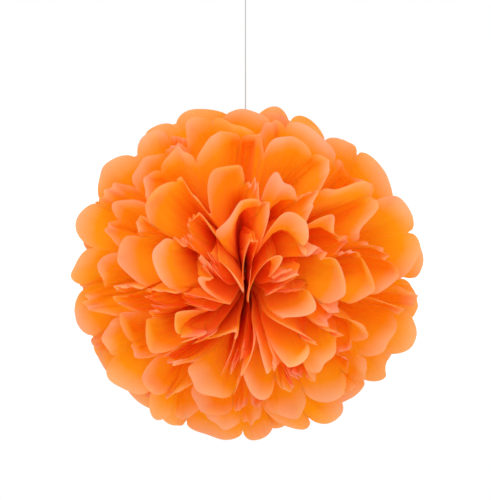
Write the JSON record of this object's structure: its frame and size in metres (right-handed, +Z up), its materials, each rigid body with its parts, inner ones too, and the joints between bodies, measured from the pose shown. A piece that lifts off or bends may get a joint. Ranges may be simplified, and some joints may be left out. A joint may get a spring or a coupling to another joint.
{
  "type": "tissue paper pom pom",
  "caption": "Round hanging pom pom of pleated tissue sheets, wired at the waist and fanned into petals, on a string with a loop.",
  "frame": {"origin": "where the hanging loop rests on the hook, inside the top of the loop; the ball hangs below it", "axes": "+Z up along the string, -Y towards the front pole of the ball, +X to the right along the level seam between the upper and lower fans"},
  "size_m": [0.3349, 0.3417, 0.4507],
  "materials": {
    "tissue": "thin matt orange tissue paper, a little translucent",
    "string": "thin white twisted string",
    "wire": "soft bare wire"
  },
  "bodies": {
    "root": {"front_sheet_1": "tissue", "front_sheet_2": "tissue", "front_sheet_3": "tissue", "front_sheet_4": "tissue", "front_sheet_5": "tissue", "front_sheet_6": "tissue", "back_sheet_1": "tissue", "back_sheet_2": "tissue", "back_sheet_3": "tissue", "back_sheet_4": "tissue", "back_sheet_5": "tissue", "back_sheet_6": "tissue", "waist_wire": "wire", "hanging_string": "string", "stopper_knot": "string", "hanging_loop": "string"}
  },
  "joints": []
}
